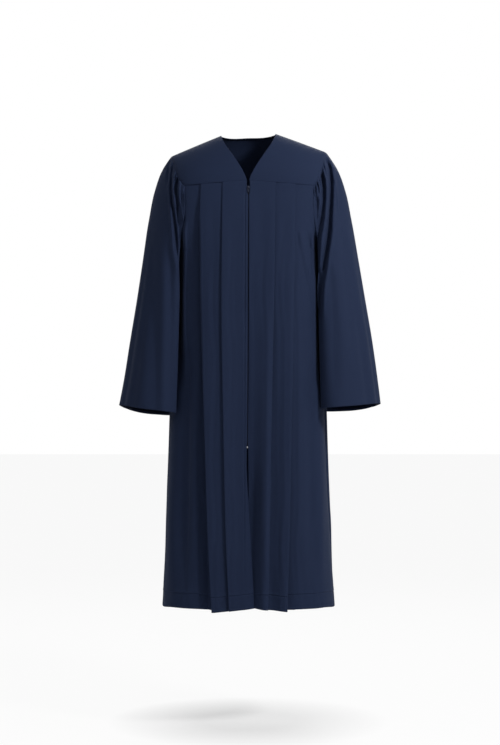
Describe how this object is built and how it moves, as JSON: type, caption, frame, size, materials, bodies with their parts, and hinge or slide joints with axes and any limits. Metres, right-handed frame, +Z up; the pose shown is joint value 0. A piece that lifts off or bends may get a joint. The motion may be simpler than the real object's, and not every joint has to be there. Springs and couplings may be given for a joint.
{
  "type": "choir robe",
  "caption": "Navy choir robe in its worn form, with a V neck, yoke, pleated front and back, long bell sleeves and a front zip.",
  "frame": {"origin": "midway between the two points where the neckline crosses the shoulder seams, where the robe rests on the wearer's shoulders", "axes": "+Z up along the robe's length, -Y the way the wearer faces, +X to the wearer's left"},
  "size_m": [0.6329, 0.3521, 1.1377],
  "materials": {
    "navy_cloth": "matte polyester crepe",
    "zip_tape": "matte woven tape",
    "zip_teeth": "satin nylon coil",
    "zip_enamel": "enamel",
    "stop_metal": "satin"
  },
  "bodies": {
    "robe": {"yoke_front_right": "navy_cloth", "yoke_front_left": "navy_cloth", "yoke_back": "navy_cloth", "front_right": "navy_cloth", "front_left": "navy_cloth", "back": "navy_cloth", "sleeve_right": "navy_cloth", "sleeve_left": "navy_cloth", "zip_tape_right": "zip_tape", "zip_tape_left": "zip_tape", "zip_chain": "zip_teeth", "zip_slider": "zip_enamel", "zip_bottom_stop": "stop_metal"},
    "pull_tab": {"zip_pull_tab": "zip_enamel"}
  },
  "joints": [
    {"name": "pull_tab_swing", "type": "hinge", "parent": "robe", "child": "pull_tab", "pos_m": [0, -0.12812, -0.14173], "axis": [-1, 0, 0], "range_deg": [0, 165]}
  ]
}
